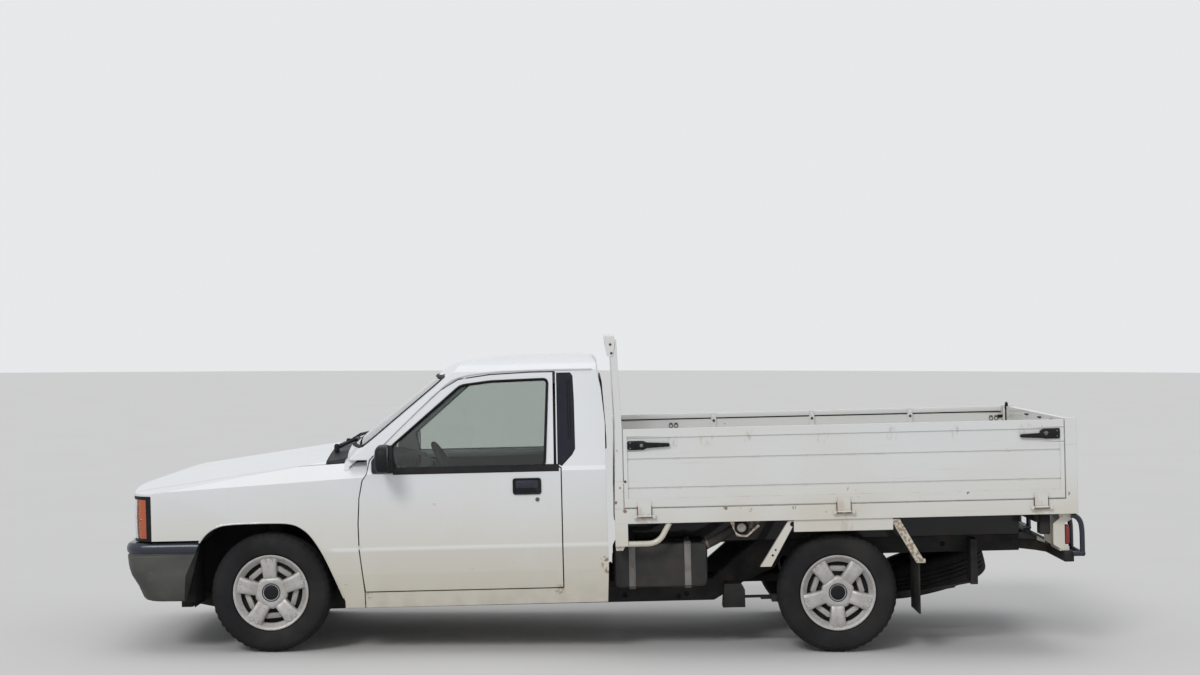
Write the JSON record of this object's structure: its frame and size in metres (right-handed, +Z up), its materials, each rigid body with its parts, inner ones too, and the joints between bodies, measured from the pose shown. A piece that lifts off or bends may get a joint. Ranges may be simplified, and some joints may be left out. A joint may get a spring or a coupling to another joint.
{
  "type": "pickup truck",
  "caption": "Single-cab pickup truck with a flat drop-side tray; doors, hood, tray sides, tailgate, steering and wheels move.",
  "frame": {"origin": "middle of the bounding box's base, on the ground that the tyres stand on", "axes": "+X towards the rear of the truck, -Y towards its left side, +Z up"},
  "size_m": [5.0294, 2.05, 1.6454],
  "materials": {
    "black_plastic": "grained black plastic",
    "bumper": "shiny dark upper band over a matte lower part",
    "chassis": "black chassis paint, dusty",
    "engine": "bare casting",
    "glass": "clear, slightly green",
    "interior": "dark grey grained plastic",
    "lens_amber": "amber lamp cover",
    "lens_clear": "clear lamp cover",
    "lens_red": "red lamp cover",
    "mud_rubber": "black sheet rubber",
    "paint": "gloss white paint, dirty low down",
    "seat_fabric": "grey woven cloth",
    "steel": "dull steel, rusty at the edges",
    "tank": "black paint",
    "tray_paint": "worn cream-white paint with chips",
    "tyre": "dusty black rubber",
    "wheel_silver": "silver paint with road dust"
  },
  "bodies": {
    "truck": {"cab_body": "paint", "corner_lamps": "lens_amber", "cowl_panel": "black_plastic", "cross_members": "chassis", "dashboard": "interior", "engine": "engine", "exhaust": "steel", "fender_left": "paint", "fender_right": "paint", "front_arms": "chassis", "front_bumper": "bumper", "front_panel": "black_plastic", "fuel_tank": "tank", "grille": "black_plastic", "headboard": "tray_paint", "headlamps": "lens_clear", "leaf_springs": "chassis", "mud_flaps": "mud_rubber", "mudguards": "tray_paint", "quarter_trims": "black_plastic", "radiator": "engine", "rail_left": "chassis", "rail_right": "chassis", "rear_axle": "chassis", "rear_bar": "chassis", "rear_window": "glass", "seat": "seat_fabric", "side_tubes": "tray_paint", "spare_wheel": "tyre", "spring_hangers": "chassis", "tail_lamps": "lens_red", "tray_frame": "tray_paint", "wheel_housing_left": "black_plastic", "wheel_housing_right": "black_plastic", "windshield": "glass"},
    "left_door": {"door_glass_left": "glass", "door_handle_left": "black_plastic", "door_left": "paint", "mirror_left": "black_plastic"},
    "right_door": {"door_glass_right": "glass", "door_handle_right": "black_plastic", "door_right": "paint", "mirror_right": "black_plastic"},
    "hood_lid": {"hood": "paint"},
    "left_dropside": {"dropside_left": "tray_paint", "latches_left": "black_plastic"},
    "right_dropside": {"dropside_right": "tray_paint", "latches_right": "black_plastic"},
    "rear_gate": {"tailgate": "tray_paint"},
    "left_knuckle": {"knuckle_left": "chassis"},
    "right_knuckle": {"knuckle_right": "chassis"},
    "hand_wheel": {"steering_wheel": "interior"},
    "wheel_fl": {"tyre_front_left": "tyre", "wheel_front_left": "wheel_silver"},
    "wheel_fr": {"tyre_front_right": "tyre", "wheel_front_right": "wheel_silver"},
    "wheel_rl": {"tyre_rear_left": "tyre", "wheel_rear_left": "wheel_silver"},
    "wheel_rr": {"tyre_rear_right": "tyre", "wheel_rear_right": "wheel_silver"}
  },
  "joints": [
    {"name": "door_left_open", "type": "hinge", "parent": "truck", "child": "left_door", "pos_m": [-1.24878, -0.8225, 0.61008], "axis": [0.0235, 0, -0.9997], "range_deg": [0, 65]},
    {"name": "door_right_open", "type": "hinge", "parent": "truck", "child": "right_door", "pos_m": [-1.24878, 0.8225, 0.61008], "axis": [-0.0235, 0, 0.9997], "range_deg": [0, 65]},
    {"name": "hood_open", "type": "hinge", "parent": "truck", "child": "hood_lid", "pos_m": [-1.43309, 0, 1.04687], "axis": [0, 1, 0], "range_deg": [0, 50]},
    {"name": "dropside_left_fold", "type": "hinge", "parent": "truck", "child": "left_dropside", "pos_m": [1.27188, -0.864, 0.73932], "axis": [0.9997, 0, 0.0235], "range_deg": [0, 180]},
    {"name": "dropside_right_fold", "type": "hinge", "parent": "truck", "child": "right_dropside", "pos_m": [1.27188, 0.864, 0.73932], "axis": [-0.9997, 0, -0.0235], "range_deg": [0, 180]},
    {"name": "tailgate_fold", "type": "hinge", "parent": "truck", "child": "rear_gate", "pos_m": [2.49354, 0, 0.76803], "axis": [0, 1, 0], "range_deg": [0, 170]},
    {"name": "steer_left", "type": "hinge", "parent": "truck", "child": "left_knuckle", "pos_m": [-1.71156, -0.64, 0.20404], "axis": [0, 0.2402, 0.9707], "range_deg": [-32, 32]},
    {"name": "steer_right", "type": "hinge", "parent": "truck", "child": "right_knuckle", "pos_m": [-1.71156, 0.64, 0.20404], "axis": [0, -0.2402, 0.9707], "range_deg": [-32, 32]},
    {"name": "steering_wheel_turn", "type": "hinge", "parent": "truck", "child": "hand_wheel", "pos_m": [-0.80772, -0.35, 0.91052], "axis": [0.854, 0, 0.5202], "range_deg": [-512, 512]},
    {"name": "spin_fl", "type": "hinge", "parent": "left_knuckle", "child": "wheel_fl", "pos_m": [-1.71156, -0.7, 0.31104], "axis": [0, 1, 0], "continuous": true},
    {"name": "spin_fr", "type": "hinge", "parent": "right_knuckle", "child": "wheel_fr", "pos_m": [-1.71156, 0.7, 0.31104], "axis": [0, 1, 0], "continuous": true},
    {"name": "spin_rl", "type": "hinge", "parent": "truck", "child": "wheel_rl", "pos_m": [1.23844, -0.7, 0.31104], "axis": [0, 1, 0], "continuous": true},
    {"name": "spin_rr", "type": "hinge", "parent": "truck", "child": "wheel_rr", "pos_m": [1.23844, 0.7, 0.31104], "axis": [0, 1, 0], "continuous": true}
  ],
  "couplings": [
    {"joint": "steer_right", "follows": "steer_left", "ratio": 1},
    {"joint": "steering_wheel_turn", "follows": "steer_left", "ratio": 16}
  ]
}
